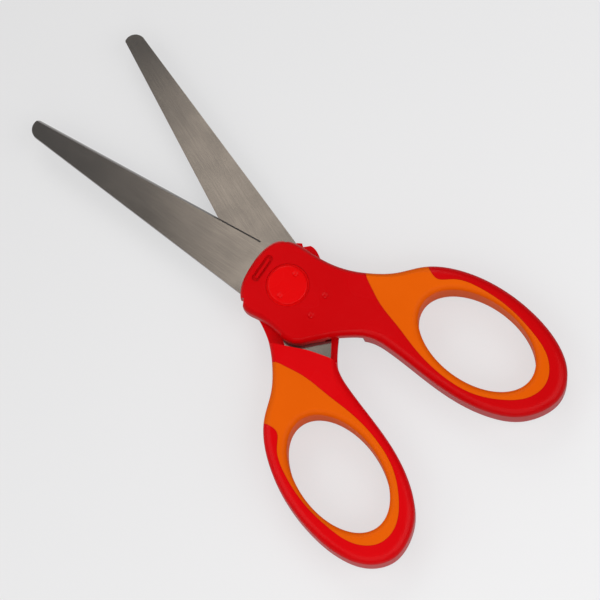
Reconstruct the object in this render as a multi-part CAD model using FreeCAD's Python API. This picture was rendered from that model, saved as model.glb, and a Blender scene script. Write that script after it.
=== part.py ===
# Soft-grip office scissors with blunt tips, lying open on a table. Sizes in millimetres.
# Frame: the origin is on the pivot axis at table level, +X runs toward the tips along
# the line that halves the opening, +Z is up.
# The two halves are the same part. One half is drawn in its own closed position, above
# the mid-plane z = 0, and the other is that half turned over about the X axis.
import math
import os

import FreeCAD
import Part

Vector = FreeCAD.Vector

# driving sizes of the whole
blade_reach = 70.4          # pivot to the blunt tip
handle_reach = 65.1         # pivot to the far end of the finger ring
ring_breadth = 26.7         # across one finger ring
rest_opening = 22.8         # angle between the two halves as they lie
ring_thickness = 10.0       # the rings and caps set the overall height
cover_thickness = 9.2       # over the two plastic covers round the pivot

# steel
steel_thickness = 1.3
washer_thickness = 0.2      # the slip washer keeps the two blades this far apart
spine_height = 7.1          # blade back above the pivot line, at the cover
tip_height = 3.6            # the same at the tip
edge_depth = 5.6            # cutting edge below the pivot line, at the cover
tip_edge_depth = 0.4        # the same at the tip
bevel_width = 0.55           # ground band along the cutting edge
edge_land = 0.15            # steel left at the edge itself

# clearances
nest_gap = 0.3              # between a cover wall and the neck of the other handle
side_gap = 0.3              # between the two handles when shut
running_fit = 0.05          # radial, round the pivot barrel
head_gap = 0.05             # between a tang and the pivot heads
seam = 0.04                 # between the hard plastic and the soft grip

# pivot
barrel_radius = 2.0
screw_radius = 1.3
head_radius = 3.6
head_thickness = 0.85
cap_radius = 4.5
cap_groove = 0.45           # open ring round the cap
cap_groove_depth = 0.2
washer_radius = 5.6

# handle
neck_reach = 22.8           # pivot to the line where the neck becomes the ring
hole_end_band = 7.8         # ring material beyond the finger hole
hole_side_band = 3.95       # ring material on each side of the finger hole
hole_neck_band = 4.7       # neck line to the finger hole
hole_tilt = -2.5            # degrees, the hole leans slightly
outline_round = 2.1         # rounding of the outer edges
hole_round = 1.5           # rounding of the finger hole edges
grip_skin = 1.3             # soft plastic over the hard core, beside the hole
grip_face_skin = 1.7        # soft plastic over the hard core, on the two faces
rim_step = 0.9              # the rim beside the tang sits this far back
recess_inner = 6.05         # the recess behind the front edge of the cover
recess_outer = 7.85
recess_reach = 2.6          # half its straight length
recess_depth = 0.55
rib_width = 0.6             # raised rib along the recess

# levels above the mid-plane
inner_face = washer_thickness / 2
outer_face = inner_face + steel_thickness
cover_top = cover_thickness / 2
ring_top = ring_thickness / 2
cap_seat = outer_face + head_gap + head_thickness + 0.15
ring_length = handle_reach - neck_reach

# wall of the cover, from its spine-side corner down to the fork between the handles
wall = [
    (-9.6, 9.3),
    (-11.2, 7.7),
    (-12.9, 6.0),
    (-14.5, 4.35),
    (-16.3, 2.85),
    (-18.1, 1.5),
    (-20.0, 0.25),
    (-22.1, -0.65),
]


def spline(points):
    curve = Part.BSplineCurve()
    curve.interpolate([Vector(x, y, 0) for x, y in points])
    return curve.toShape()


def arc(first, middle, last):
    ends = [Vector(x, y, 0) for x, y in (first, middle, last)]
    return Part.Arc(*ends).toShape()


def line(first, last):
    return Part.makeLine(Vector(first[0], first[1], 0), Vector(last[0], last[1], 0))


def prism(edges, bottom, top):
    face = Part.Face(Part.Wire(edges))
    solid = face.extrude(Vector(0, 0, top - bottom))
    solid.translate(Vector(0, 0, bottom))
    return solid


def polygon(points, bottom, top):
    corners = [Vector(x, y, 0) for x, y in points]
    corners.append(corners[0])
    return prism(Part.makePolygon(corners).Edges, bottom, top)


def cylinder(radius, bottom, top, x=0.0, y=0.0):
    return Part.makeCylinder(radius, top - bottom, Vector(x, y, bottom))


def level_edges(solid, heights, keep):
    found = []
    for edge in solid.Edges:
        box = edge.BoundBox
        flat = box.ZLength < 1e-4
        if flat and any(abs(box.ZMin - height) < 1e-4 for height in heights):
            if keep(box):
                found.append(edge)
    return found


def ring_point(along, across):
    # along: 0 at the neck line, 1 at the far end; across: 0 where the handles meet
    x = -neck_reach - along * ring_length
    y = -side_gap / 2 - across * ring_breadth
    return (x, y)


def hole_edge(margin):
    # the finger hole grown by a margin, as a closed edge
    long_radius = (ring_length - hole_end_band - hole_neck_band) / 2 + margin
    short_radius = ring_breadth / 2 - hole_side_band + margin
    x = -neck_reach - hole_neck_band - long_radius + margin
    y = -side_gap / 2 - ring_breadth / 2
    ellipse = Part.Ellipse(Vector(x, y, 0), long_radius, short_radius)
    edge = ellipse.toShape()
    edge.rotate(Vector(x, y, 0), Vector(0, 0, 1), hole_tilt)
    return edge


def handle_outline():
    # one smooth closed edge: front of the cover, outer side of the neck, the ring,
    # the wall of the cover and its spine side
    points = [
        (9.7, -0.4),
        (9.3, -4.2),
        (7.9, -7.2),
        (4.6, -9.0),
        (0.0, -9.3),
        (-5.0, -9.7),
        (-10.0, -11.1),
        (-14.0, -0.49 * ring_breadth),
        (-18.4, -0.607 * ring_breadth),
        ring_point(0.0, 0.775),
        ring_point(0.165, 0.920),
        ring_point(0.407, 0.99),
        ring_point(0.643, 0.960),
        ring_point(0.832, 0.861),
        ring_point(0.950, 0.716),
        ring_point(1.0, 0.492),
        ring_point(0.960, 0.307),
        ring_point(0.879, 0.163),
        ring_point(0.738, 0.056),
        ring_point(0.478, 0.0),
        ring_point(0.265, 0.017),
        ring_point(0.105, 0.034),
    ]
    points.extend(reversed(wall))
    points.extend([
        (-7.4, 10.3),
        (-4.0, 10.05),
        (1.6, 9.75),
        (4.9, 9.95),
        (7.3, 8.3),
        (8.9, 5.6),
        (9.5, 2.8),
    ])
    corners = [Vector(x, y, 0) for x, y in points]
    curve = Part.BSplineCurve()
    curve.interpolate(corners, PeriodicFlag=True)
    return [curve.toShape()]


def grip_zone(margin):
    # the soft plastic covers the outer side of the neck and lines the finger hole
    points = [
        (-12.5, -13.2),
        (-13.2, -12.0),
        (-15.4, -10.5),
        (-19.0, -8.5),
        ring_point(0.07, 0.225),
        ring_point(0.23, 0.140),
        ring_point(0.42, 0.084),
        ring_point(0.60, 0.098),
        ring_point(0.76, 0.200),
        ring_point(0.875, 0.365),
        ring_point(0.897, 0.520),
        ring_point(0.832, 0.700),
        ring_point(0.690, 0.812),
        ring_point(0.500, 0.880),
        ring_point(0.310, 0.880),
        ring_point(0.170, 0.812),
        ring_point(0.100, 0.745),
        ring_point(0.045, 0.772),
        ring_point(-0.02, 0.845),
    ]
    grown = []
    for index, (x, y) in enumerate(points):
        before = points[max(index - 1, 0)]
        after = points[min(index + 1, len(points) - 1)]
        step = math.hypot(after[0] - before[0], after[1] - before[1])
        grown.append((
            x - margin * (before[1] - after[1]) / step,
            y - margin * (after[0] - before[0]) / step,
        ))
    first = grown[0]
    last = grown[-1]
    outside = (first[0], last[1] - 1)
    edges = [spline(grown), line(last, outside), line(outside, first)]
    return prism(edges, -ring_top - 2, ring_top + 2)


def grip_core(margin):
    # hard core inside the soft plastic: a plate in the neck and a collar round the hole
    half = ring_top - grip_face_skin + margin
    plate = polygon(
        [
            (-9.0 + margin, -5.0),
            (-9.0 + margin, -8.5 - margin),
            (-13.6, -11.4 - margin),
            (-18.4 - margin, -0.56 * ring_breadth - margin),
            (-neck_reach - margin, -0.70 * ring_breadth - margin),
            (-neck_reach - 7.0, -0.82 * ring_breadth - margin),
            (-neck_reach - 7.0, -0.15 * ring_breadth),
            (-neck_reach, -0.12 * ring_breadth),
        ],
        -half,
        half,
    )
    collar = prism([hole_edge(hole_side_band - 0.5 + margin)], -half, half)
    hole = prism([hole_edge(grip_skin - margin)], -ring_top, ring_top)
    return plate.fuse(collar).cut(hole)


def rounded_handle():
    # one closed shape for the cover, neck and ring, before it is shared between pieces
    body = prism(handle_outline(), -ring_top, ring_top)
    body = body.cut(prism([hole_edge(0.0)], -ring_top - 1, ring_top + 1))
    levels = [-ring_top, ring_top]
    half_way = ring_length
    hole_edges = level_edges(body, levels, lambda box: box.XLength < half_way)
    body = body.makeFillet(hole_round, hole_edges)
    outer_edges = level_edges(body, levels, lambda box: box.XLength > half_way)
    body = body.makeFillet(outline_round, outer_edges)
    # the covers are a little lower than the rings, with a gentle ramp on the neck
    for side in (1, -1):
        profile = [
            Vector(15, -20, side * cover_top),
            Vector(-13, -20, side * cover_top),
            Vector(-neck_reach - 3, -20, side * ring_top),
            Vector(-neck_reach - 3, -20, side * (ring_top + 1)),
            Vector(15, -20, side * (ring_top + 1)),
            Vector(15, -20, side * cover_top),
        ]
        ramp = Part.Face(Part.makePolygon(profile)).extrude(Vector(0, 50, 0))
        body = body.cut(ramp)
    # small notches where the front edge of the cover turns
    notch = [(8.1, 8.5), (6.5, 8.0), (5.7, 9.8), (6.2, 11.0), (8.1, 11.0)]
    body = body.cut(polygon(notch, inner_face, ring_top + 1))
    return body.cut(cylinder(0.65, inner_face, ring_top + 1, 6.5, -8.55))


def other_cover_room():
    # below the mid-plane the cover of the other half swings here
    shift = nest_gap * 0.72
    edge = [(x - shift, -y - shift) for x, y in wall]
    first = edge[0]
    last = edge[-1]
    start = (first[0] + 2.0, first[1] - 2.2)
    edges = [
        line(start, first),
        spline(edge),
        line(last, (last[0] - 2, last[1] + 0.8)),
        line((last[0] - 2, last[1] + 0.8), (last[0] - 2, 30)),
        line((last[0] - 2, 30), (30, 30)),
        line((30, 30), (30, start[1])),
        line((30, start[1]), start),
    ]
    return prism(edges, -ring_top - 1, inner_face)


def spine_at(x):
    share = (x - 9.0) / (blade_reach - 2.0 - 9.0)
    return spine_height + share * (tip_height - spine_height)


# steel tang under the plastic, from the spine side round to the cutting edge
tang = [
    (9.0, spine_height),
    (-6.5, 7.3),
    (-10.6, 5.5),
    (-15.2, 1.8),
    (-18.2, -0.3),
    (-neck_reach - 0.6, -4.4),
    (-neck_reach - 2.2, -7.4),
    (-neck_reach + 0.2, -9.6),
    (-14.0, -8.6),
    (-8.3, -7.2),
    (4.0, -7.0),
    (8.0, -6.5),
    (9.8, -6.05),
    (11.4, -edge_depth),
]


def make_blade():
    heel = tang[-1]
    tip_edge = (blade_reach - 1.0, -tip_edge_depth)
    tip_low = (blade_reach - 0.35, -tip_edge_depth + 0.3)
    tip_back = (blade_reach - 2.0, tip_height)
    steel = [Vector(x, y, 0) for x, y in tang]
    edges = Part.makePolygon(steel).Edges
    edges.append(line(heel, tip_edge))
    edges.append(arc(tip_edge, (blade_reach - 0.6, -tip_edge_depth + 0.06), tip_low))
    edges.append(arc(tip_low, (blade_reach - 0.2, tip_height * 0.55), tip_back))
    edges.append(line(tip_back, tang[0]))
    blade = prism(edges, inner_face, outer_face)
    # ground bevel: a wedge along the cutting edge that runs out at the heel
    along = Vector(tip_edge[0] - heel[0], tip_edge[1] - heel[1], 0)
    length = along.Length
    along.normalize()
    across = Vector(-along.y, along.x, 0)
    corner = Vector(heel[0], heel[1], inner_face + edge_land)
    rise = steel_thickness - edge_land
    wedge = Part.Face(Part.makePolygon([
        corner,
        corner + across * bevel_width + Vector(0, 0, rise),
        corner - across * 2 + Vector(0, 0, rise + 0.5),
        corner - across * 2,
        corner,
    ])).extrude(along * (length + 5))
    blade = blade.cut(wedge)
    return blade.cut(cylinder(barrel_radius + running_fit, -1, outer_face + 1))


def tang_pocket():
    corners = list(tang)
    corners.append((12.0, -edge_depth))
    corners.append((12.0, spine_at(12.0)))
    return polygon(corners, inner_face - 0.5, outer_face)


def make_grip(body):
    return body.common(grip_zone(0.0)).cut(grip_core(seam))


def make_handle(body):
    handle = body.cut(grip_zone(seam)).fuse(body.common(grip_core(0.0)))
    handle = handle.cut(tang_pocket())
    # openings for the pivot heads and the cap
    handle = handle.cut(cylinder(head_radius + 0.3, outer_face - 0.5, cap_seat + 0.5))
    handle = handle.cut(cylinder(cap_radius + cap_groove, cap_seat, ring_top))
    # the rim beside the inner end of the tang sits back from the steel
    rim = polygon(
        [(-13.4, 3.3), (-15.2, 1.8), (-18.2, -0.3), (-22.0, -2.8), (-25.0, 3.0), (-14.0, 9.0)],
        inner_face - 0.5,
        inner_face + rim_step,
    )
    room = other_cover_room()
    room.translate(Vector(0, 0, rim_step))
    handle = handle.cut(rim.common(room))
    # recess with a rib near the front edge of the cover
    floor = cover_top - recess_depth
    middle = 0.5 * (recess_inner + recess_outer)
    recess = polygon(
        [(recess_inner, -recess_reach), (recess_outer, -recess_reach), (recess_outer, recess_reach),
         (recess_inner, recess_reach)],
        floor,
        ring_top,
    )
    for y in (-recess_reach, recess_reach):
        recess = recess.fuse(cylinder(middle - recess_inner, floor, ring_top, middle, y))
    rib = Part.makeBox(
        rib_width,
        2 * recess_reach,
        recess_depth,
        Vector(middle - rib_width / 2, -recess_reach, floor - 0.1),
    )
    handle = handle.cut(recess.cut(rib))
    # two shallow dimples behind the cap
    for y in (-2.8, 2.8):
        ball = Part.makeSphere(1.1, Vector(-8.3, y, cover_top + 0.75))
        handle = handle.cut(ball)
    return handle


def make_cap():
    cap = cylinder(cap_radius, cap_seat, ring_top)
    cap = cap.makeFillet(0.35, level_edges(cap, [ring_top], lambda box: True))
    flange_top = cover_top - cap_groove_depth
    flange = cylinder(cap_radius + cap_groove - running_fit, cap_seat, flange_top)
    cap = cap.fuse(flange).removeSplitter()
    for y in (-3.0, 3.0):
        cap = cap.cut(Part.makeSphere(1.0, Vector(0, y, ring_top + 0.7)))
    return cap


def make_nut():
    foot = outer_face + head_gap
    nut = cylinder(head_radius, -foot - head_thickness, -foot)
    nut = nut.fuse(cylinder(barrel_radius, -foot - 0.2, foot))
    return nut.cut(cylinder(screw_radius + running_fit, -foot - head_thickness - 1, foot + 1))


def make_screw():
    foot = outer_face + head_gap
    screw = cylinder(head_radius, foot, foot + head_thickness)
    screw = screw.fuse(cylinder(screw_radius, -foot - head_thickness + 0.2, foot + 0.2))
    slot = Part.makeBox(2 * head_radius + 2, 0.8, 1, Vector(-head_radius - 1, -0.4, foot + 0.5))
    return screw.cut(slot)


def make_washer():
    washer = cylinder(washer_radius, -inner_face, inner_face)
    return washer.cut(cylinder(barrel_radius + running_fit, -1, 1))


def place_front(shape):
    placed = shape.copy()
    placed.rotate(Vector(0, 0, 0), Vector(0, 0, 1), rest_opening / 2)
    placed.translate(Vector(0, 0, ring_top))
    return placed


def place_rear(shape):
    placed = shape.copy()
    placed.rotate(Vector(0, 0, 0), Vector(1, 0, 0), 180)
    placed.rotate(Vector(0, 0, 0), Vector(0, 0, 1), -rest_opening / 2)
    placed.translate(Vector(0, 0, ring_top))
    return placed


def place_level(shape):
    placed = shape.copy()
    placed.translate(Vector(0, 0, ring_top))
    return placed


body = rounded_handle().cut(other_cover_room())
halves = {
    "blade": make_blade(),
    "handle": make_handle(body),
    "grip": make_grip(body),
    "pivot_cap": make_cap(),
}
nodes = {}
for name, shape in halves.items():
    nodes["front_" + name] = place_front(shape)
    nodes["rear_" + name] = place_rear(shape)
nodes["pivot_screw"] = place_level(make_screw())
nodes["pivot_nut"] = place_level(make_nut())
nodes["blade_washer"] = place_level(make_washer())

os.makedirs("parts", exist_ok=True)
for name, shape in nodes.items():
    box = shape.BoundBox
    print(name, shape.ShapeType, len(shape.Solids), shape.isValid(), round(shape.Volume, 1),
          round(box.XMin, 2), round(box.XMax, 2), round(box.YMin, 2), round(box.YMax, 2),
          round(box.ZMin, 2), round(box.ZMax, 2))
    shape.exportStep("parts/" + name + ".step")
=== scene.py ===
import math

import bpy
from mathutils import Euler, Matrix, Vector

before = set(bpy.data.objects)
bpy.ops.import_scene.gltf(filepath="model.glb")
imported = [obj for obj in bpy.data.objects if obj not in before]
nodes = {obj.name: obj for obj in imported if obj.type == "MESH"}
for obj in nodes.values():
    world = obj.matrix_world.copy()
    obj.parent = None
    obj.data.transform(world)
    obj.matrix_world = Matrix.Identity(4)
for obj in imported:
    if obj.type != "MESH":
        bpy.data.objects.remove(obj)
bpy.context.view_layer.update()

mm = 0.001
scene = bpy.context.scene
scene.view_settings.view_transform = "Standard"


# small helpers for shader trees
def addNode(tree, kind, **sockets):
    node = tree.nodes.new(kind)
    for name, value in sockets.items():
        node.inputs[name].default_value = value
    return node


def addMath(tree, operation):
    node = tree.nodes.new("ShaderNodeMath")
    node.operation = operation
    return node


def newMaterial(name):
    material = bpy.data.materials.new(name)
    material.use_nodes = True
    tree = material.node_tree
    shader = tree.nodes["Principled BSDF"]
    return material, tree, shader


def newGroup(name, inputs, outputs):
    group = bpy.data.node_groups.new(name, "ShaderNodeTree")
    for label, value in inputs.items():
        socket = group.interface.new_socket(label, in_out="INPUT", socket_type="NodeSocketFloat")
        socket.default_value = value
    for label in outputs:
        group.interface.new_socket(label, in_out="OUTPUT", socket_type="NodeSocketFloat")
    start = group.nodes.new("NodeGroupInput")
    end = group.nodes.new("NodeGroupOutput")
    return group, start, end


def useGroup(tree, group, values):
    node = tree.nodes.new("ShaderNodeGroup")
    node.node_tree = group
    for name, value in values.items():
        node.inputs[name].default_value = value
    return node


def rampBetween(tree, source, low, high, fromValue=0.3, toValue=0.7):
    spread = tree.nodes.new("ShaderNodeMapRange")
    spread.inputs["From Min"].default_value = fromValue
    spread.inputs["From Max"].default_value = toValue
    spread.inputs["To Min"].default_value = low
    spread.inputs["To Max"].default_value = high
    tree.links.new(source, spread.inputs["Value"])
    return spread.outputs["Result"]


# the mix node's colour sockets go by number, as its number sockets have the same names
def colourBetween(tree, factor, first, second):
    mix = tree.nodes.new("ShaderNodeMix")
    mix.data_type = "RGBA"
    mix.inputs[6].default_value = (*first, 1)
    mix.inputs[7].default_value = (*second, 1)
    tree.links.new(factor, mix.inputs["Factor"])
    return mix.outputs[2]


def bumpFrom(tree, shader, height, strength, distance):
    bump = tree.nodes.new("ShaderNodeBump")
    bump.inputs["Strength"].default_value = strength
    bump.inputs["Distance"].default_value = distance
    tree.links.new(height, bump.inputs["Height"])
    tree.links.new(bump.outputs["Normal"], shader.inputs["Normal"])


# fine unevenness of a moulded surface: a soft waviness and a fine texture on top
def makeMouldGroup():
    group, start, end = newGroup(
        "mouldedSkin",
        {"Wave Size": 90.0, "Texture Size": 2500.0, "Texture Amount": 0.2},
        ["Height", "Cloud"],
    )
    place = group.nodes.new("ShaderNodeTexCoord")
    wave = addNode(group, "ShaderNodeTexNoise", Detail=2.0, Roughness=0.4)
    fine = addNode(group, "ShaderNodeTexNoise", Detail=3.0, Roughness=0.6)
    scaled = addMath(group, "MULTIPLY")
    total = addMath(group, "ADD")
    links = group.links
    links.new(place.outputs["Object"], wave.inputs["Vector"])
    links.new(place.outputs["Object"], fine.inputs["Vector"])
    links.new(start.outputs["Wave Size"], wave.inputs["Scale"])
    links.new(start.outputs["Texture Size"], fine.inputs["Scale"])
    links.new(fine.outputs["Fac"], scaled.inputs[0])
    links.new(start.outputs["Texture Amount"], scaled.inputs[1])
    links.new(wave.outputs["Fac"], total.inputs[0])
    links.new(scaled.outputs[0], total.inputs[1])
    links.new(total.outputs[0], end.inputs["Height"])
    links.new(wave.outputs["Fac"], end.inputs["Cloud"])
    return group


# straight fine scratches left by grinding, running along one direction of the steel
def makeGrindGroup():
    group, start, end = newGroup(
        "grindLines",
        {"Turn": 0.0, "Density": 6000.0, "Stretch": 0.02},
        ["Lines", "Smudge"],
    )
    place = group.nodes.new("ShaderNodeTexCoord")
    turned = group.nodes.new("ShaderNodeVectorRotate")
    turned.rotation_type = "Z_AXIS"
    stretched = group.nodes.new("ShaderNodeVectorMath")
    stretched.operation = "MULTIPLY"
    factors = addNode(group, "ShaderNodeCombineXYZ", Y=1.0, Z=1.0)
    lines = addNode(group, "ShaderNodeTexNoise", Detail=2.0, Roughness=0.55)
    smudge = addNode(group, "ShaderNodeTexNoise", Scale=140.0, Detail=3.0, Roughness=0.5)
    links = group.links
    links.new(place.outputs["Object"], turned.inputs["Vector"])
    links.new(start.outputs["Turn"], turned.inputs["Angle"])
    links.new(turned.outputs["Vector"], stretched.inputs[0])
    links.new(start.outputs["Stretch"], factors.inputs["X"])
    links.new(factors.outputs["Vector"], stretched.inputs[1])
    links.new(stretched.outputs["Vector"], lines.inputs["Vector"])
    links.new(start.outputs["Density"], lines.inputs["Scale"])
    links.new(place.outputs["Object"], smudge.inputs["Vector"])
    links.new(lines.outputs["Fac"], end.inputs["Lines"])
    links.new(smudge.outputs["Fac"], end.inputs["Smudge"])
    return group


mouldGroup = makeMouldGroup()
grindGroup = makeGrindGroup()


def linkRoughness(tree, shader, source, look):
    smoothest = look["roughness"] - look["smoother"]
    roughest = look["roughness"] + look["rougher"]
    tree.links.new(rampBetween(tree, source, smoothest, roughest), shader.inputs["Roughness"])


# moulded plastic: two close colours, light waviness, roughness that varies a little
def plasticMaterial(name, look):
    material, tree, shader = newMaterial(name)
    shader.inputs["IOR"].default_value = look["ior"]
    shader.inputs["Specular IOR Level"].default_value = look["gloss"]
    skin = useGroup(tree, mouldGroup, {
        "Wave Size": look["waveSize"],
        "Texture Size": look["textureSize"],
        "Texture Amount": look["textureAmount"],
    })
    mask = rampBetween(tree, skin.outputs["Cloud"], 0.0, 1.0)
    colour = colourBetween(tree, mask, look["colour"], look["colourToo"])
    tree.links.new(colour, shader.inputs["Base Color"])
    linkRoughness(tree, shader, skin.outputs["Cloud"], look)
    bumpFrom(tree, shader, skin.outputs["Height"], look["bump"], look["bumpDepth"])
    return material


def steelMaterial(name, look, turn):
    material, tree, shader = newMaterial(name)
    shader.inputs["Metallic"].default_value = 1.0
    grind = useGroup(tree, grindGroup, {
        "Turn": turn,
        "Density": look["density"],
        "Stretch": look["stretch"],
    })
    mask = rampBetween(tree, grind.outputs["Lines"], 0.0, 1.0)
    colour = colourBetween(tree, mask, look["colour"], look["colourToo"])
    tree.links.new(colour, shader.inputs["Base Color"])
    linkRoughness(tree, shader, grind.outputs["Smudge"], look)
    bumpFrom(tree, shader, grind.outputs["Lines"], look["bump"], look["bumpDepth"])
    return material


def paint(node, material):
    piece = nodes[node]
    piece.data.materials.clear()
    piece.data.materials.append(material)


# hard plastic covers, necks and rings
handleLook = {
    "colour": (0.60, 0.0010, 0.0026),
    "colourToo": (0.64, 0.0015, 0.0036),
    "roughness": 0.27,
    "smoother": 0.03,
    "rougher": 0.04,
    "ior": 1.45,
    "gloss": 0.11,
    "waveSize": 70.0,
    "textureSize": 2200.0,
    "textureAmount": 0.10,
    "bump": 0.25,
    "bumpDepth": 0.08 * mm,
}
# painted light: the rear half is the same red as the front one, painted brighter to stand in for
# the stronger light falling on it
rearHandlePaintedLightLook = dict(
    handleLook,
    colour=(0.71, 0.0012, 0.0034),
    colourToo=(0.75, 0.0017, 0.0046),
)
paint("front_handle", plasticMaterial("frontHandleRed", handleLook))
paint("rear_handle", plasticMaterial("rearHandlePaintedLightRed", rearHandlePaintedLightLook))


# soft grips
gripLook = {
    "colour": (0.80, 0.114, 0.0006),
    "colourToo": (0.84, 0.126, 0.0010),
    "roughness": 0.42,
    "smoother": 0.03,
    "rougher": 0.04,
    "ior": 1.42,
    "gloss": 0.07,
    "waveSize": 60.0,
    "textureSize": 5200.0,
    "textureAmount": 0.35,
    "bump": 0.35,
    "bumpDepth": 0.08 * mm,
}
gripOrange = plasticMaterial("gripOrange", gripLook)
for side in ("front", "rear"):
    paint(side + "_grip", gripOrange)


# pivot caps
capLook = {
    "colour": (0.79, 0.0012, 0.0020),
    "colourToo": (0.82, 0.0016, 0.0026),
    "roughness": 0.27,
    "smoother": 0.03,
    "rougher": 0.04,
    "ior": 1.47,
    "gloss": 0.12,
    "waveSize": 110.0,
    "textureSize": 2500.0,
    "textureAmount": 0.06,
    "bump": 0.15,
    "bumpDepth": 0.05 * mm,
}
capRed = plasticMaterial("capRed", capLook)
for side in ("front", "rear"):
    paint(side + "_pivot_cap", capRed)


# blades, with grinding lines along each one
bladeLook = {
    "colour": (0.41, 0.39, 0.375),
    "colourToo": (0.47, 0.45, 0.43),
    "roughness": 0.14,
    "smoother": 0.02,
    "rougher": 0.02,
    "density": 5200.0,
    "stretch": 0.03,
    "bump": 0.08,
    "bumpDepth": 0.02 * mm,
}
bladeTurn = math.radians(11.4)  # how far each blade lies off the X axis
paint("front_blade", steelMaterial("frontBladeSteel", bladeLook, -bladeTurn))
paint("rear_blade", steelMaterial("rearBladeSteel", bladeLook, bladeTurn))

# pivot hardware, hidden between the covers
hardwareLook = dict(bladeLook, roughness=0.3, density=3000.0, stretch=0.2)
hardwareSteel = steelMaterial("pivotSteel", hardwareLook, 0.0)
for node in ("pivot_screw", "pivot_nut"):
    paint(node, hardwareSteel)
washerLook = dict(gripLook, colour=(0.72, 0.70, 0.66), colourToo=(0.76, 0.74, 0.70))
paint("blade_washer", plasticMaterial("washerNylon", washerLook))
print("materials are on")

# the table: sheet paper, with painted shade making it a little darker toward the tips, where the
# light falls off
tableLook = {
    "colour": (0.25, 0.25, 0.252),
    "roughness": 0.75,
    "gloss": 0.2,
    "mottleSize": 9.0,
    "mottleShade": 0.985,
    "glow": (0.995, 1.0, 1.008),
    "glowStrength": 0.575,
    "glowPaintedShadeFall": 0.24,
    "glowReach": 0.2,
    "mirrored": 0.45,
    "halfSize": 3.0,
}


def makeTable():
    half = tableLook["halfSize"]
    mesh = bpy.data.meshes.new("tableTop")
    corners = [(-half, -half, 0), (half, -half, 0), (half, half, 0), (-half, half, 0)]
    mesh.from_pydata(corners, [], [(0, 1, 2, 3)])
    top = bpy.data.objects.new("tableTop", mesh)
    scene.collection.objects.link(top)
    material, tree, shader = newMaterial("tablePaper")
    shader.inputs["Roughness"].default_value = tableLook["roughness"]
    shader.inputs["Specular IOR Level"].default_value = tableLook["gloss"]
    place = tree.nodes.new("ShaderNodeTexCoord")
    mottle = addNode(
        tree, "ShaderNodeTexNoise", Scale=tableLook["mottleSize"], Detail=3.0, Roughness=0.5
    )
    tree.links.new(place.outputs["Object"], mottle.inputs["Vector"])
    mask = rampBetween(tree, mottle.outputs["Fac"], 0.0, 1.0)
    base = Vector(tableLook["colour"])
    shaded = base * tableLook["mottleShade"]
    colour = colourBetween(tree, mask, tuple(shaded), tuple(base))
    tree.links.new(colour, shader.inputs["Base Color"])
    # the camera sees the paper paler than it lights the scissors, mirrors see part of that
    path = tree.nodes.new("ShaderNodeLightPath")
    seen = addMath(tree, "MULTIPLY_ADD")
    seen.inputs[1].default_value = tableLook["mirrored"]
    tree.links.new(path.outputs["Is Glossy Ray"], seen.inputs[0])
    tree.links.new(path.outputs["Is Camera Ray"], seen.inputs[2])
    across = tree.nodes.new("ShaderNodeSeparateXYZ")
    tree.links.new(place.outputs["Object"], across.inputs["Vector"])
    middle = tableLook["glowStrength"]
    paintedShadeFall = middle * tableLook["glowPaintedShadeFall"]
    reach = tableLook["glowReach"]
    # painted shade: the paper's glow is ramped down along X toward the tips, standing in for the
    # light falling off there
    strength = rampBetween(tree, across.outputs["X"], middle + paintedShadeFall, middle - paintedShadeFall, -reach, reach)
    glow = addMath(tree, "MULTIPLY")
    tree.links.new(seen.outputs[0], glow.inputs[0])
    tree.links.new(strength, glow.inputs[1])
    shader.inputs["Emission Color"].default_value = (*tableLook["glow"], 1)
    tree.links.new(glow.outputs[0], shader.inputs["Emission Strength"])
    mesh.materials.append(material)


makeTable()


def addLamp(name, look):
    data = bpy.data.lights.new(name, "AREA")
    data.energy = look["power"]
    data.color = look["colour"]
    lamp = bpy.data.objects.new(name, data)
    lamp.location = look["at"]
    scene.collection.objects.link(lamp)
    return lamp


def aimAt(lamp, target):
    direction = Vector(target) - lamp.location
    lamp.rotation_mode = "QUATERNION"
    lamp.rotation_quaternion = direction.to_track_quat("-Z", "Y")


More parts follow.
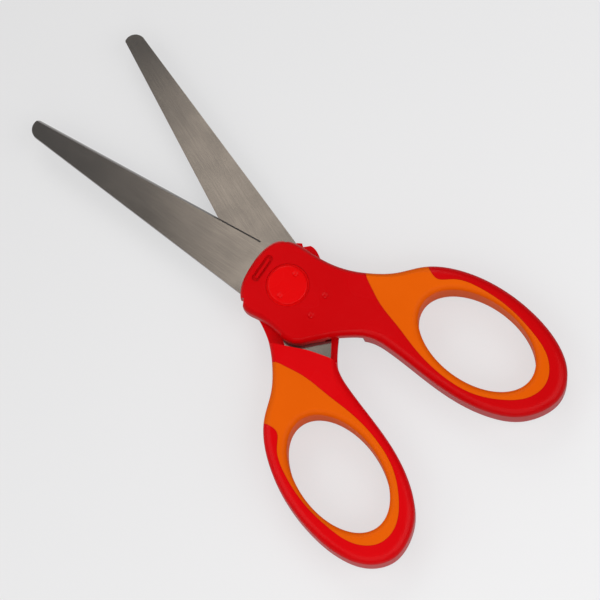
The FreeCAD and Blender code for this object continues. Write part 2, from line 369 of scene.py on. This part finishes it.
# four large windows round the table
windowSet = {
    "leftWindow": {
        "at": (0.55, 0.75, 0.75), "size": 1.2, "power": 6.5, "colour": (1.0, 0.98, 0.97),
    },
    "rightWindow": {
        "at": (-0.75, -0.45, 0.85), "size": 1.2, "power": 7.45, "colour": (1.0, 0.98, 0.98),
    },
    "topWindow": {
        "at": (0.85, -0.45, 0.80), "size": 0.7, "power": 4.55, "colour": (1.0, 0.985, 0.98),
    },
    "nearWindow": {
        "at": (-0.70, 0.65, 0.80), "size": 1.2, "power": 5.35, "colour": (1.0, 0.98, 0.97),
    },
}
for name, look in windowSet.items():
    window = addLamp(name, look)
    window.data.shape = "SQUARE"
    window.data.size = look["size"]
    aimAt(window, (0, 0, 0))

# a dim strip of wall that the steel near the pivot mirrors and the tips miss
stripLook = {
    "at": (0.145, -0.072, 0.60),
    "long": 0.12,
    "wide": 0.045,
    "turn": -27.0,
    "power": 0.0145,
    "colour": (1.0, 0.88, 0.75),
}
strip = addLamp("wallStrip", stripLook)
strip.data.shape = "RECTANGLE"
strip.data.size = stripLook["long"]
strip.data.size_y = stripLook["wide"]
strip.rotation_euler = (0, 0, math.radians(stripLook["turn"]))

worldLook = {"colour": (0.95, 0.93, 0.92), "strength": 0.13}
world = bpy.data.worlds.new("room")
world.use_nodes = True
background = world.node_tree.nodes["Background"]
background.inputs["Color"].default_value = (*worldLook["colour"], 1)
background.inputs["Strength"].default_value = worldLook["strength"]
scene.world = world
print("table and lamps are set")

# camera, high over the table and turned so that the tips point up and left
cameraSet = {
    "at": (-170.0 * mm, 91.95 * mm, 890.8 * mm),
    "turn": (11.705, 3.156, -133.828),
    "lens": 240.0,
    "sensor": 36.0,
    "nearest": 0.05,
    "farthest": 20.0,
}
cameraData = bpy.data.cameras.new("camera")
cameraData.lens = cameraSet["lens"]
cameraData.sensor_width = cameraSet["sensor"]
cameraData.clip_start = cameraSet["nearest"]
cameraData.clip_end = cameraSet["farthest"]
camera = bpy.data.objects.new("camera", cameraData)
camera.location = cameraSet["at"]
camera.rotation_euler = Euler([math.radians(a) for a in cameraSet["turn"]], "XYZ")
scene.collection.objects.link(camera)
scene.camera = camera
